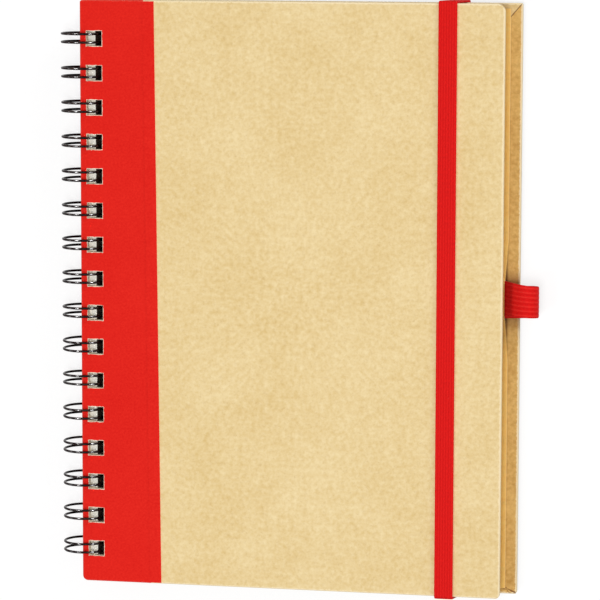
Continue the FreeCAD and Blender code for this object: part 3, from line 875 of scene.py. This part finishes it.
@dataclass(frozen=True)
class WireFinish(Finish):
    """Black nylon-coated wire: glossy, a little uneven, rubbed brown in places."""

    black: Ink = ink(1, 0, 0)
    rubbed: Tone = Tone(ink(14, 7, 5), 0.5)

    def paint(self, graph: Graph, place: Socket) -> Socket:
        """Shader of the finish."""
        wave = graph.noise(place, 1.3)
        rub = graph.ramp(graph.noise(place, 0.7, 4.0, 0.7), 0.5, 0.75)
        colour = graph.tint(self.black, self.rubbed, rub)
        rough = graph.ramp(wave, 0.3, 0.7, 0.14, 0.24)
        return self.coat(graph, colour, rough, specular=0.06, height=wave, depth=0.02)


@dataclass(frozen=True)
class ElasticFinish(Finish):
    """Woven red elastic: ribs along its length with fine staggered cross threads.

    The root is where a strip comes out from under a sheet, and it is painted darker there as shade.
    """

    effects: Effects
    rib: float
    dark: Ink = ink(202, 4, 4)
    light: Ink = ink(232, 18, 14)
    # Painted highlight on the rib tops.
    crest: Tone = Tone(ink(250, 84, 72), 0.06)
    # Painted shade at the root.
    painted_loop_shade: Tone = Tone(ink(140, 4, 4), 0.45)
    painted_loop_shade_span: tuple[float, float] = (2.6, 4.6)
    lint: Specks = Specks(ink(250, 120, 110), 0.5, spacing=2.4, share=0.18, size=0.1)
    depth: float = 0.04
    root: float = -FAR

    def paint(self, graph: Graph, place: Socket) -> Socket:
        """Shader of the finish."""
        surface = graph.add("ShaderNodeUVMap", {}, uv_map="Surface").outputs[0]
        threads = graph.use(self.effects.threads, {"Surface": surface, "Rib": self.rib})
        colour = graph.blend(graph.ramp(threads["Shade"], 0.1, 0.9), self.dark, self.light)
        # Painted highlight along the tops of the ribs.
        colour = graph.tint(colour, self.crest, threads["Crest"])
        # Painted shade: darker towards the root, where the strip goes under the endpaper.
        low, high = (self.root + reach for reach in self.painted_loop_shade_span)
        painted_loop_shade = graph.ramp(graph.split(place)[0], low, high, self.painted_loop_shade.strength, 0.0)
        colour = graph.blend(painted_loop_shade, colour, self.painted_loop_shade.colour)
        colour = self.scatter(graph, self.effects.flecks, place, colour, self.lint)
        height = threads["Height"]
        return self.coat(graph, colour, 0.75, specular=0.15, height=height, depth=self.depth, sheen=0.06)


@dataclass(frozen=True)
class FloorFinish(Finish):
    """White tabletop: shows as white to the camera and keeps the notebook's soft shadow.

    The glow that makes it white stops under the covers, where the table lies in the dark.
    """

    bounce: float = 0.32
    glow: float = 0.72

    def paint(self, graph: Graph, place: Socket) -> Socket:
        """Shader of the finish."""
        low, high = (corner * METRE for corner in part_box("back_board"))
        x, y, _ = graph.split(place)
        aside = graph.size(graph.minus(x, (low.x + high.x) / 2))
        aside = graph.minus(aside, (high.x - low.x) / 2)
        beyond = graph.minus(graph.size(y), high.y)
        bare = graph.ramp(graph.most(aside, beyond), -4.0, -0.5)
        matt = graph.add("ShaderNodeBsdfDiffuse", {0: (self.bounce, self.bounce, self.bounce, 1.0)})
        strength = graph.times(graph.seen(), bare, self.glow)
        glow = graph.add("ShaderNodeEmission", {0: WHITE, 1: strength})
        both = graph.add("ShaderNodeAddShader", {0: matt.outputs[0], 1: glow.outputs[0]})
        return both.outputs[0]


def dress(piece: bpy.types.Object, material: bpy.types.Material) -> None:
    """Give a piece one material, in its first slot and only that."""
    if piece.data.materials:
        piece.data.materials[0] = material
    else:
        piece.data.materials.append(material)


# Pieces


@dataclass
class WireComb:
    """The twin-loop comb: one wire drawn flat as a row of hairpins, then rolled round its axis."""

    wire_radius: float = 0.45
    half_gap: float = 1.55
    bend: float = 1.0
    start: float = 281.25
    seam_gap: float = 10.0
    stub: float = 3.0
    lean: float = 0.16
    seed: int = 7
    bend_steps: int = 6
    tip_steps: int = 14
    run_points: int = 68
    sides: int = 12

    def __post_init__(self) -> None:
        """Read the comb's axis and radius from its box."""
        low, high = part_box("wire_binding")
        self.axis_x = (low.x + high.x) / 2 * METRE
        self.axis_z = (low.z + high.z) / 2 * METRE
        self.radius = (high.z - low.z) / 2 * METRE - self.wire_radius

    def flat_path(self) -> np.ndarray:
        """The wire drawn flat: distance round the loop, and height along the spine.

        Each hairpin is a quarter bend out of the link, a run to the tip, a half circle, the run
        back and a quarter bend into the next link. The hairpins repeat at the pitch, and each
        leans a little by chance.

        Returns:
            Points of the drawing, n by 2.
        """
        begin = math.radians(self.start) * self.radius
        tip = begin + self.bend + math.radians(self.seam_gap) * self.radius + self.half_gap
        tip -= FULL_TURN * self.radius
        run = np.linspace(begin, tip, self.run_points)
        low, high = -self.half_gap, self.half_gap
        hairpin = np.concatenate([
            arc((begin, low - self.bend), self.bend, 0, 90, self.bend_steps)[:-1],
            np.stack([run, np.full_like(run, low)], axis=1)[:-1],
            arc((tip, 0), self.half_gap, 270, 90, self.tip_steps)[:-1],
            np.stack([run[::-1], np.full_like(run, high)], axis=1)[:-1],
            arc((begin, high + self.bend), self.bend, -90, 0, self.bend_steps),
        ])
        count = Punching.count
        rows = Punching.first_row + np.arange(count) * Punching.pitch
        path = hairpin[None] + np.stack([np.zeros(count), rows], axis=1)[:, None]
        lean = np.random.default_rng(self.seed).uniform(-self.lean, self.lean, count)[:, None]
        path[..., 1] += lean * np.sin(path[..., 0] / self.radius)
        path = path.reshape(-1, 2)
        stubs = np.array([[0.0, -self.stub], [0.0, self.stub]])
        return np.concatenate([path[:1] + stubs[:1], path, path[-1:] + stubs[1:]])

    def build(self) -> bpy.types.Object:
        """Roll the drawing round the axis and carry a round section along it.

        Returns:
            The comb.
        """
        flat = self.flat_path()
        angle = flat[:, 0] / self.radius
        outward = np.stack([np.cos(angle), np.zeros_like(angle), np.sin(angle)], axis=1)
        middle = np.array([self.axis_x, 0.0, self.axis_z])
        path = middle + outward * self.radius
        path[:, 1] = flat[:, 1]
        across = unit(np.cross(directions(path), outward))
        turns = np.linspace(0, FULL_TURN, self.sides + 1)
        section = np.stack([np.cos(turns[:-1]), np.sin(turns[:-1])], axis=1) * self.wire_radius
        points = carry(path, across, outward, section)
        uv = spread_uv(turns * self.wire_radius, lengths_along(path))
        return lay_surface("wire_comb", points, uv, closed=(False, True), caps=True)


@dataclass
class RibbedElastic:
    """Section of a woven elastic: a flat strip with rounded edges and shallow ribs."""

    width: float
    thickness: float
    ribs: int
    depth: float
    samples: int = 72
    roundness: int = 8

    def section(self) -> np.ndarray:
        """Closed outline: a flattened oval, less a cosine groove between the ribs.

        The oval's half height is half the thickness times the eighth root of 1 less the eighth
        power of the share of the half width.

        Returns:
            Width and height of each corner, m by 2.
        """
        share = np.sin(np.linspace(-1, 1, self.samples + 1) * math.pi / 2)
        full = (1 - np.abs(share) ** self.roundness) ** (1 / self.roundness)
        groove = self.depth * (0.5 + 0.5 * np.cos(math.pi * self.ribs * (share + 1))) * full
        half = self.thickness / 2
        x = share * self.width / 2
        top = np.stack([x, half + half * full - groove], axis=1)
        bottom = np.stack([x, half - half * full + groove], axis=1)
        return np.concatenate([top, bottom[::-1][1:-1]])

    def carry_along(
        self, name: str, path: np.ndarray, across: np.ndarray, outward: np.ndarray, spread: np.ndarray
    ) -> bpy.types.Object:
        """Strip along a path, its width multiplied by the spread at each point.

        Args:
            name: Name of the piece.
            path: Middle of the strip's inner face, n by 3.
            across: Direction of its width, n by 3.
            outward: Direction of its thickness, n by 3.
            spread: Share of the width at each point, n.

        Returns:
            The strip.
        """
        section = self.section()
        shape = np.repeat(section[None], len(path), axis=0)
        shape[..., 0] *= spread[:, None]
        points = carry(path, across, outward, shape)
        wide = np.append(section[:, 0], section[0, 0]) + self.width / 2
        uv = spread_uv(wide, lengths_along(path))
        turn = np.dot(np.cross(directions(path)[0], across[0]), outward[0])
        return lay_surface(name, points, uv, closed=(False, True), caps=True, flip=turn > 0)


@dataclass
class ElasticBand:
    """Closing band: over the front cover, round head and tail, and into the slits at the back."""

    width: float = 6.8
    thickness: float = 0.9
    bend: float = 0.3
    slant: float = 2.8
    slit: float = 17.0
    inset: float = 20.6
    into: float = 2.2
    ribs: int = 7
    rib_depth: float = 0.02
    clear: Place = (0.02, 0.06, 0.08)
    bend_steps: int = 8
    front_step: float = 2.0
    back_step: float = 1.5
    back_spare: float = 0.5

    def __post_init__(self) -> None:
        """Read where the covers are, and stand a hair clear of their front, back and head."""
        above, below, beyond = self.clear
        front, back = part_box("front_wrap_paper"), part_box("back_wrap_paper")
        self.top = front[1].z * METRE + above
        self.bottom = back[0].z * METRE - below
        self.head = front[1].y * METRE + beyond
        self.front_x = front[1].x * METRE - self.inset

    def half_path(self) -> np.ndarray:
        """Inner face of the band from the middle of the front, round the head, to the slit.

        It leans outwards on its way down the head, and stays there under the back cover.

        Returns:
            Points with their outward direction beside them, n by 5: x, y, z, and the
            direction in y and z.
        """
        corner = self.head - self.bend
        front = np.arange(0.0, corner, self.front_step)
        over = np.stack([front, np.full_like(front, self.top)], axis=1)
        upper = arc((corner, self.top - self.bend), self.bend, 90, 0, self.bend_steps)
        lower = arc((corner, self.bottom + self.bend), self.bend, 0, -90, self.bend_steps)
        round_head = np.concatenate([over, upper, lower])
        slit = self.head - self.slit
        back_end = slit + self.bend + self.back_spare
        back = np.arange(corner - self.back_step, back_end, -self.back_step)
        under = np.stack([back, np.full_like(back, self.bottom)], axis=1)
        turn_in = (slit + self.bend, self.bottom + self.bend)
        dip = arc(turn_in, self.bend, 270, 180, self.bend_steps)
        inside = np.array([[slit, self.bottom + self.into]])
        flat = np.concatenate([round_head, under, dip, inside])
        travel = directions(flat)
        outward = np.stack([-travel[:, 1], travel[:, 0]], axis=1)
        fall = np.clip((self.top - flat[:, 1]) / (self.top - self.bottom), 0, 1)
        fall[len(round_head):] = 1
        x = self.front_x + self.slant * fall
        return np.concatenate([x[:, None], flat, outward], axis=1)

    def build(self) -> bpy.types.Object:
        """Mirror the half path about the middle and carry the ribbed section along all of it.

        Returns:
            The band.
        """
        half = self.half_path()
        other = half[1:][::-1] * np.array([1, -1, 1, -1, 1])
        whole = np.concatenate([other, half])
        path, tilt = whole[:, :3], whole[:, 3:]
        outward = np.stack([np.zeros(len(tilt)), tilt[:, 0], tilt[:, 1]], axis=1)
        across = np.tile([1.0, 0.0, 0.0], (len(path), 1))
        elastic = RibbedElastic(self.width, self.thickness, self.ribs, self.rib_depth)
        return elastic.carry_along("elastic_closing_band", path, across, outward, np.ones(len(path)))


@dataclass
class PenLoop:
    """Pen loop: ribbed elastic folded into a drop-shaped eye, pinched flat under the endpaper.

    The tail is how far in from the root, and how far below it, the strip's hidden end lies.
    """

    width: float = 12.0
    thickness: float = 1.05
    ribs: int = 7
    rib_depth: float = 0.07
    draw_in: float = 1.1
    root_spread: float = 1.03
    tip_spread: float = 0.96
    skew: float = 0.3
    root_skew: float = 0.55
    under_skew: float = 0.9
    ease: float = 0.4
    tail: tuple[tuple[float, float], ...] = ((2.0, 0.02), (5.0, 0.04))
    bed_points: int = 14
    tip_steps: int = 36
    slope_points: int = 12

    def __post_init__(self) -> None:
        """Read the loop's place from its box and the endpaper's edge."""
        low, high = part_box("pen_loop")
        self.start = low.x * METRE
        self.tip = high.x * METRE
        self.bed = low.z * METRE
        self.height = (high.z - low.z) * METRE
        self.middle = (low.y + high.y) / 2 * METRE
        self.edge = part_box("back_endpaper")[1].x * METRE - self.draw_in

    def drop_path(self) -> np.ndarray:
        """Outer face seen end on: along the bed, round the tip, and down the slope to the root.

        The slope is the line that leaves the tip's circle at the angle at which it meets the
        root, two thicknesses above the bed.

        Returns:
            Points as x and z, n by 2.
        """
        radius = self.height / 2
        centre = (self.tip - radius, self.bed + radius)
        root = np.array([self.edge, self.bed + 2 * self.thickness])
        apart = root - np.array(centre)
        reach = np.linalg.norm(apart)
        bearing = math.degrees(math.atan2(apart[1], apart[0])) % 360
        leave = bearing - math.degrees(math.acos(radius / reach))
        under = np.linspace(self.start, centre[0], self.bed_points)[:-1]
        bed = np.stack([under, np.full_like(under, self.bed)], axis=1)
        tip = arc(centre, radius, -90, leave, self.tip_steps)
        share = np.linspace(0, 1, self.slope_points)[1:, None]
        slope = tip[-1] + (root - tip[-1]) * share
        return np.concatenate([bed, tip, slope, root - np.array(self.tail)])

    def build(self) -> bpy.types.Object:
        """Carry the ribbed section along the drop, a little wider at the root than at the tip.

        The lower layer lies further down, wholly up to a fifth of the way and no more beyond seven
        tenths. The upper one comes back a little askew over it, and most so at the root.

        Returns:
            The pen loop.
        """
        flat = self.drop_path()
        share = np.linspace(0, 1, len(flat))
        outside = np.clip((flat[:, 0] - self.edge + self.ease) / self.ease, 0, 1)
        over = self.root_skew * share**3 * outside
        under = self.under_skew * np.clip(1.4 - 2 * share, 0, 1)
        askew = self.middle + self.skew + over - under
        path = np.stack([flat[:, 0], askew, flat[:, 1]], axis=1)
        travel = directions(path)
        inward = np.stack([-travel[:, 2], np.zeros(len(flat)), travel[:, 0]], axis=1)
        across = np.tile([0.0, 1.0, 0.0], (len(flat), 1))
        reach = np.clip((flat[:, 0] - self.edge) / (self.tip - self.edge), 0, 1)
        spread = self.root_spread + (self.tip_spread - self.root_spread) * reach
        elastic = RibbedElastic(self.width, self.thickness, self.ribs, self.rib_depth)
        return elastic.carry_along("elastic_pen_loop", path, across, inward, spread)


@dataclass
class LeafEdges:
    """Cut edges of the leaves: each leaf stands out a hair more or less than its neighbours.

    The drift is a wave round the block and one up it, so that no two leaves follow one line.
    """

    leaf: float = 0.1
    scatter: float = 0.05
    proud: float = 0.06
    groove: float = 0.05
    drift: float = 0.02
    drift_wave: tuple[float, float] = (0.21, 1.7)
    seed: int = 11
    counts: tuple[int, ...] = (70, 90, 70, 90)
    levels: tuple[float, ...] = (0.04, 0.14, 0.86, 0.96)
    spared: float = 0.0006

    def outline(self, low: np.ndarray, high: np.ndarray) -> tuple[np.ndarray, np.ndarray]:
        """Rectangle seen from above, side by side, sparing a share at each side's ends.

        Args:
            low: The block's low corner, in millimetres.
            high: Its high corner.

        Returns:
            The points and the way that each one looks out, both n by 2.
        """
        corners = np.array([low[:2], (high[0], low[1]), high[:2], (low[0], high[1])])
        ways = ((0.0, -1.0), (1.0, 0.0), (0.0, 1.0), (-1.0, 0.0))
        points, out = [], []
        for start, stop, way, count in zip(corners, np.roll(corners, -1, axis=0), ways, self.counts):
            share = np.linspace(self.spared, 1 - self.spared, count)[:, None]
            points.append(start + (stop - start) * share)
            out.append(np.tile(way, (count, 1)))
        return np.concatenate(points), np.concatenate(out)

    def build(self) -> bpy.types.Object:
        """Skin round the block: outline point + outward times how far its leaf stands out.

        A leaf stands out by the proud share, its own offset and a slow drift, less the groove
        at its two faces.

        Returns:
            The skin.
        """
        low, high = (np.array(corner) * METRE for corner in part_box("page_block"))
        outline, out = self.outline(low, high)
        leaves = round((high[2] - low[2]) / self.leaf)
        rng = np.random.default_rng(self.seed)
        stand = rng.normal(0, self.scatter / 2, leaves).clip(-self.scatter, self.scatter)
        levels = low[2] + (np.arange(leaves)[:, None] + np.array(self.levels)) * self.leaf
        offset = self.proud + stand[:, None] + np.array([-self.groove, 0.0, 0.0, -self.groove])
        z, offset = levels.reshape(-1), offset.reshape(-1)
        along = np.arange(len(outline) + 1, dtype=float)
        round_it, up_it = self.drift_wave
        drift = self.drift * np.sin(along[:-1] * round_it)[None] * np.sin(z * up_it)[:, None]
        flat = outline[None] + out[None] * (offset[:, None] + drift)[..., None]
        heights = np.broadcast_to(z[:, None, None], flat.shape[:2] + (1,))
        points = np.concatenate([flat, heights], axis=2)
        return lay_surface("leaf_edges", points, spread_uv(along, z), closed=(False, True))


@dataclass
class Cover:
    """One cover: board, wrapping sheet, spine strip and endpaper, each with its own paper."""

    side: Side
    effects: Effects
    draw_in: float = 0.0

    def dress(self) -> None:
        """Give the cover's sheets their finishes."""
        word = self.side.name.lower()
        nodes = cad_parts
        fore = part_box(f"{word}_wrap_paper")[1].x * METRE
        endpaper_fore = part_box(f"{word}_endpaper")[1].x * METRE
        pen_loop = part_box("pen_loop")
        wrap = KraftFinish(
            f"{word}_kraft",
            self.effects,
            self.side,
            fore,
            pasted_to=endpaper_fore,
            draw_in=self.draw_in,
            draw_middle=(pen_loop[0].y + pen_loop[1].y) / 2 * METRE,
        )
        dress(nodes[f"{word}_wrap_paper"], wrap.material())
        lining = KraftFinish(
            f"{word}_kraft_lining",
            self.effects,
            self.side,
            endpaper_fore,
            dark=ink(228, 188, 116),
            light=ink(252, 226, 168),
            # Painted shade colours for the endpaper's edges.
            margin_shade_dark=ink(250, 188, 92),
            margin_shade_light=ink(255, 219, 130),
            # Pale endpaper edges: partly rubbed, partly a painted highlight.
            wear_and_highlight=Tone(ink(248, 214, 150), 0.75),
            fold_width=0.25,
            mitred=False,
        )
        dress(nodes[f"{word}_endpaper"], lining.material())
        dress(nodes[f"{word}_spine_strip"], SpinePaperFinish(f"{word}_spine_red", self.effects).material())
        dress(nodes[f"{word}_board"], BoardFinish(f"{word}_grey_board", self.effects).material())
        LOG.info("%s cover dressed", word)


# Light and camera


@dataclass(frozen=True)
class SoftLamp:
    """Square soft lamp aimed at the notebook; its share is the part of the light level it gives."""

    name: str
    place: Place
    share: float
    size: float = 0.35

    def hang(self, only: Optional[bpy.types.Object] = None) -> None:
        """Put the lamp up, its power worked out so that an upward face gets the share.

        Args:
            only: The one piece that it lights, or None where it lights everything.
        """
        place = Vector(self.place)
        lamp = bpy.data.lights.new(self.name, "AREA")
        lamp.shape = "SQUARE"
        lamp.size = self.size
        lamp.energy = self.share * math.pi**2 * place.length_squared * place.length / place.z
        lamp_object = bpy.data.objects.new(self.name, lamp)
        lamp_object.location = place
        lamp_object.rotation_euler = (-place).to_track_quat("-Z", "Y").to_euler()
        bpy.context.scene.collection.objects.link(lamp_object)
        if only:
            lit = bpy.data.collections.new(f"{self.name}_lights")
            lit.objects.link(only)
            lamp_object.light_linking.receiver_collection = lit


@dataclass
class Studio:
    """White table, even light from all round, soft lamps, and the photograph's camera."""

    ambient: float = 0.35
    lamps: tuple[SoftLamp, ...] = (
        SoftLamp("top_lamp", (0.1, -0.1, 1.5), 0.42, 0.5),
        SoftLamp("left_lamp", (-0.62, -0.45, 1.1), 0.13),
        SoftLamp("right_lamp", (1.15, 1.1, 0.5), 0.13, 0.8),
    )
    glints: tuple[SoftLamp, ...] = (
        SoftLamp("left_glint", (-0.62, 0.62, 1.05), 13.0, 0.25),
        SoftLamp("right_glint", (0.95, 0.55, 0.85), 13.0, 0.25),
        SoftLamp("side_glint", (-1.25, -0.2, 0.5), 0.7, 0.3),
    )
    table_reach: float = 3.0
    lens: float = 197.46
    sensor: float = 36.0
    clip: tuple[float, float] = (0.01, 20.0)
    distance: float = 1205.1
    yaw: float = 11.55
    pitch: float = 7.207
    roll: float = 0.14
    aim: Place = (82.882, 108.231, 0.0)

    def light(self, comb: bpy.types.Object) -> None:
        """World of even white, the lamps, and the glints that light only the wire.

        Args:
            comb: The wire comb.
        """
        world = bpy.data.worlds.new("studio")
        bpy.context.scene.world = world
        world.use_nodes = True
        world.node_tree.nodes.clear()
        graph = Graph(world.node_tree)
        level = graph.plus(graph.times(graph.seen(), 1.0 - self.ambient), self.ambient)
        glow = graph.add("ShaderNodeBackground", {0: WHITE, 1: level})
        graph.finish("ShaderNodeOutputWorld", glow.outputs[0])

        for lamp in self.lamps:
            lamp.hang()
        for glint in self.glints:
            glint.hang(comb)
        LOG.info("studio lit")

    def floor(self) -> None:
        """White table under the notebook."""
        mesh = bpy.data.meshes.new("table_top")
        reach = self.table_reach
        corners = [(-reach, -reach, 0), (reach, -reach, 0), (reach, reach, 0), (-reach, reach, 0)]
        mesh.from_pydata(corners, [], [(0, 1, 2, 3)])
        table = bpy.data.objects.new("table_top", mesh)
        bpy.context.scene.collection.objects.link(table)
        dress(table, FloorFinish("white_table").material())

    def camera(self) -> None:
        """Camera as fitted to the photograph.

        It stands off the aim point, given from the front cover's tail corner at the spine, turned
        by yaw and pitch and rolled about its own axis.
        """
        strip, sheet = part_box("front_spine_strip"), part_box("front_wrap_paper")
        corner = Vector((strip[0].x, strip[0].y, sheet[1].z))
        yaw, pitch, roll = (math.radians(angle) for angle in (self.yaw, self.pitch, self.roll))
        reach = math.cos(pitch)
        forward = -Vector((math.sin(yaw) * reach, math.sin(pitch), math.cos(yaw) * reach))
        level = Vector((math.cos(yaw), 0.0, -math.sin(yaw)))
        upright = level.cross(forward)
        right = math.cos(roll) * level + math.sin(roll) * upright
        up = right.cross(forward)
        data = bpy.data.cameras.new("photo_camera")
        data.lens = self.lens
        data.sensor_width = self.sensor
        data.sensor_fit = "HORIZONTAL"
        data.clip_start, data.clip_end = self.clip
        camera = bpy.data.objects.new("photo_camera", data)
        turn = Matrix((right, up, -forward)).transposed().to_4x4()
        turn.translation = corner + Vector(self.aim) * MM - forward * self.distance * MM
        camera.matrix_world = turn
        bpy.context.scene.collection.objects.link(camera)
        bpy.context.scene.camera = camera
        bpy.context.scene.view_settings.view_transform = "Standard"


def report(piece: bpy.types.Object) -> None:
    """Log a finished piece."""
    LOG.info("%s: %d faces", piece.name, len(piece.data.polygons))


def main() -> None:
    """Build and dress the notebook's pieces in order."""
    logging.basicConfig(level=logging.INFO, format="%(name)s: %(message)s")
    effects = Effects()
    Cover(Side.FRONT, effects).dress()
    Cover(Side.BACK, effects, draw_in=PenLoop.draw_in).dress()
    binding_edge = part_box("page_block")[0].x * METRE
    leaf = LeafFinish("leaf_paper", effects, hole_left=binding_edge + Punching.page_margin).material()
    dress(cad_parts["page_block"], leaf)

    edges = LeafEdges().build()
    dress(edges, leaf)
    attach(edges, "pages")

    comb = WireComb().build()
    dress(comb, WireFinish("black_wire_coat").material())
    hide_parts("wire_binding")
    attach(comb, "back_cover")

    maker = ElasticBand()
    band = maker.build()
    dress(band, ElasticFinish("band_elastic", effects, rib=maker.width / maker.ribs).material())
    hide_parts("elastic_band")
    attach(band, "back_cover")
    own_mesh(band)

    holder = PenLoop()
    loop = holder.build()
    rib = holder.width / holder.ribs
    # The pen loop's ribs get a stronger painted highlight.
    crest = Tone(ElasticFinish.crest.colour, 0.18)
    woven = ElasticFinish("pen_loop_elastic", effects, rib=rib, crest=crest, root=holder.edge)
    dress(loop, woven.material())
    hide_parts("pen_loop")
    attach(loop, "back_cover")

    for piece in (edges, comb, band, loop):
        report(piece)
    studio = Studio()
    studio.light(comb)
    studio.floor()
    studio.camera()


if __name__ == "__main__":
    main()
